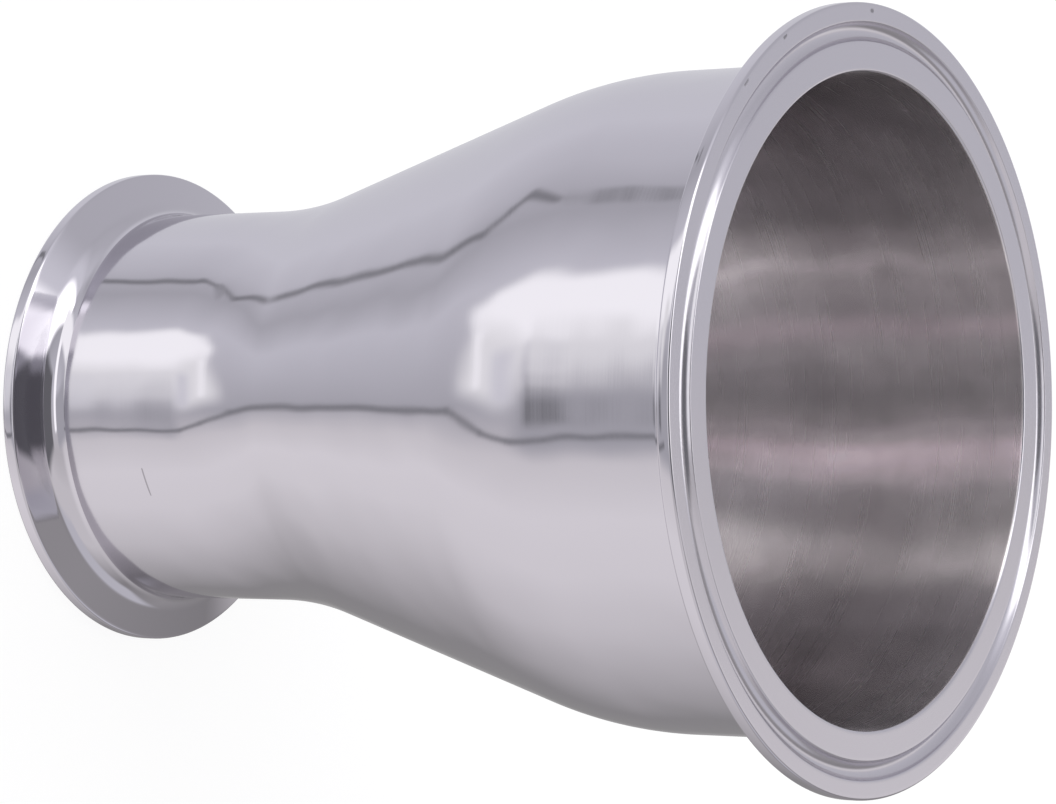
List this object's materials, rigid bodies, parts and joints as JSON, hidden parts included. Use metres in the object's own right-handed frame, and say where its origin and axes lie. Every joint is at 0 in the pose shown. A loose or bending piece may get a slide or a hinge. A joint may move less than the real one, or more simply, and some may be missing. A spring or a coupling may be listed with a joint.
{
  "type": "clamp reducer",
  "caption": "Concentric tube reducer with a grooved clamp flange at each end and a drawn cone between a wide and a narrow straight tube.",
  "frame": {"origin": "centre of the small flange's face, on the bore axis, where the fitting stands", "axes": "+Z along the bore, from the small flange to the large one; X and Y are equal round the axis"},
  "size_m": [0.119, 0.119, 0.1372],
  "materials": {
    "steel": "polished outside and on the faces, finely brushed in the bore"
  },
  "bodies": {
    "root": {"reducer": "steel"}
  },
  "joints": []
}
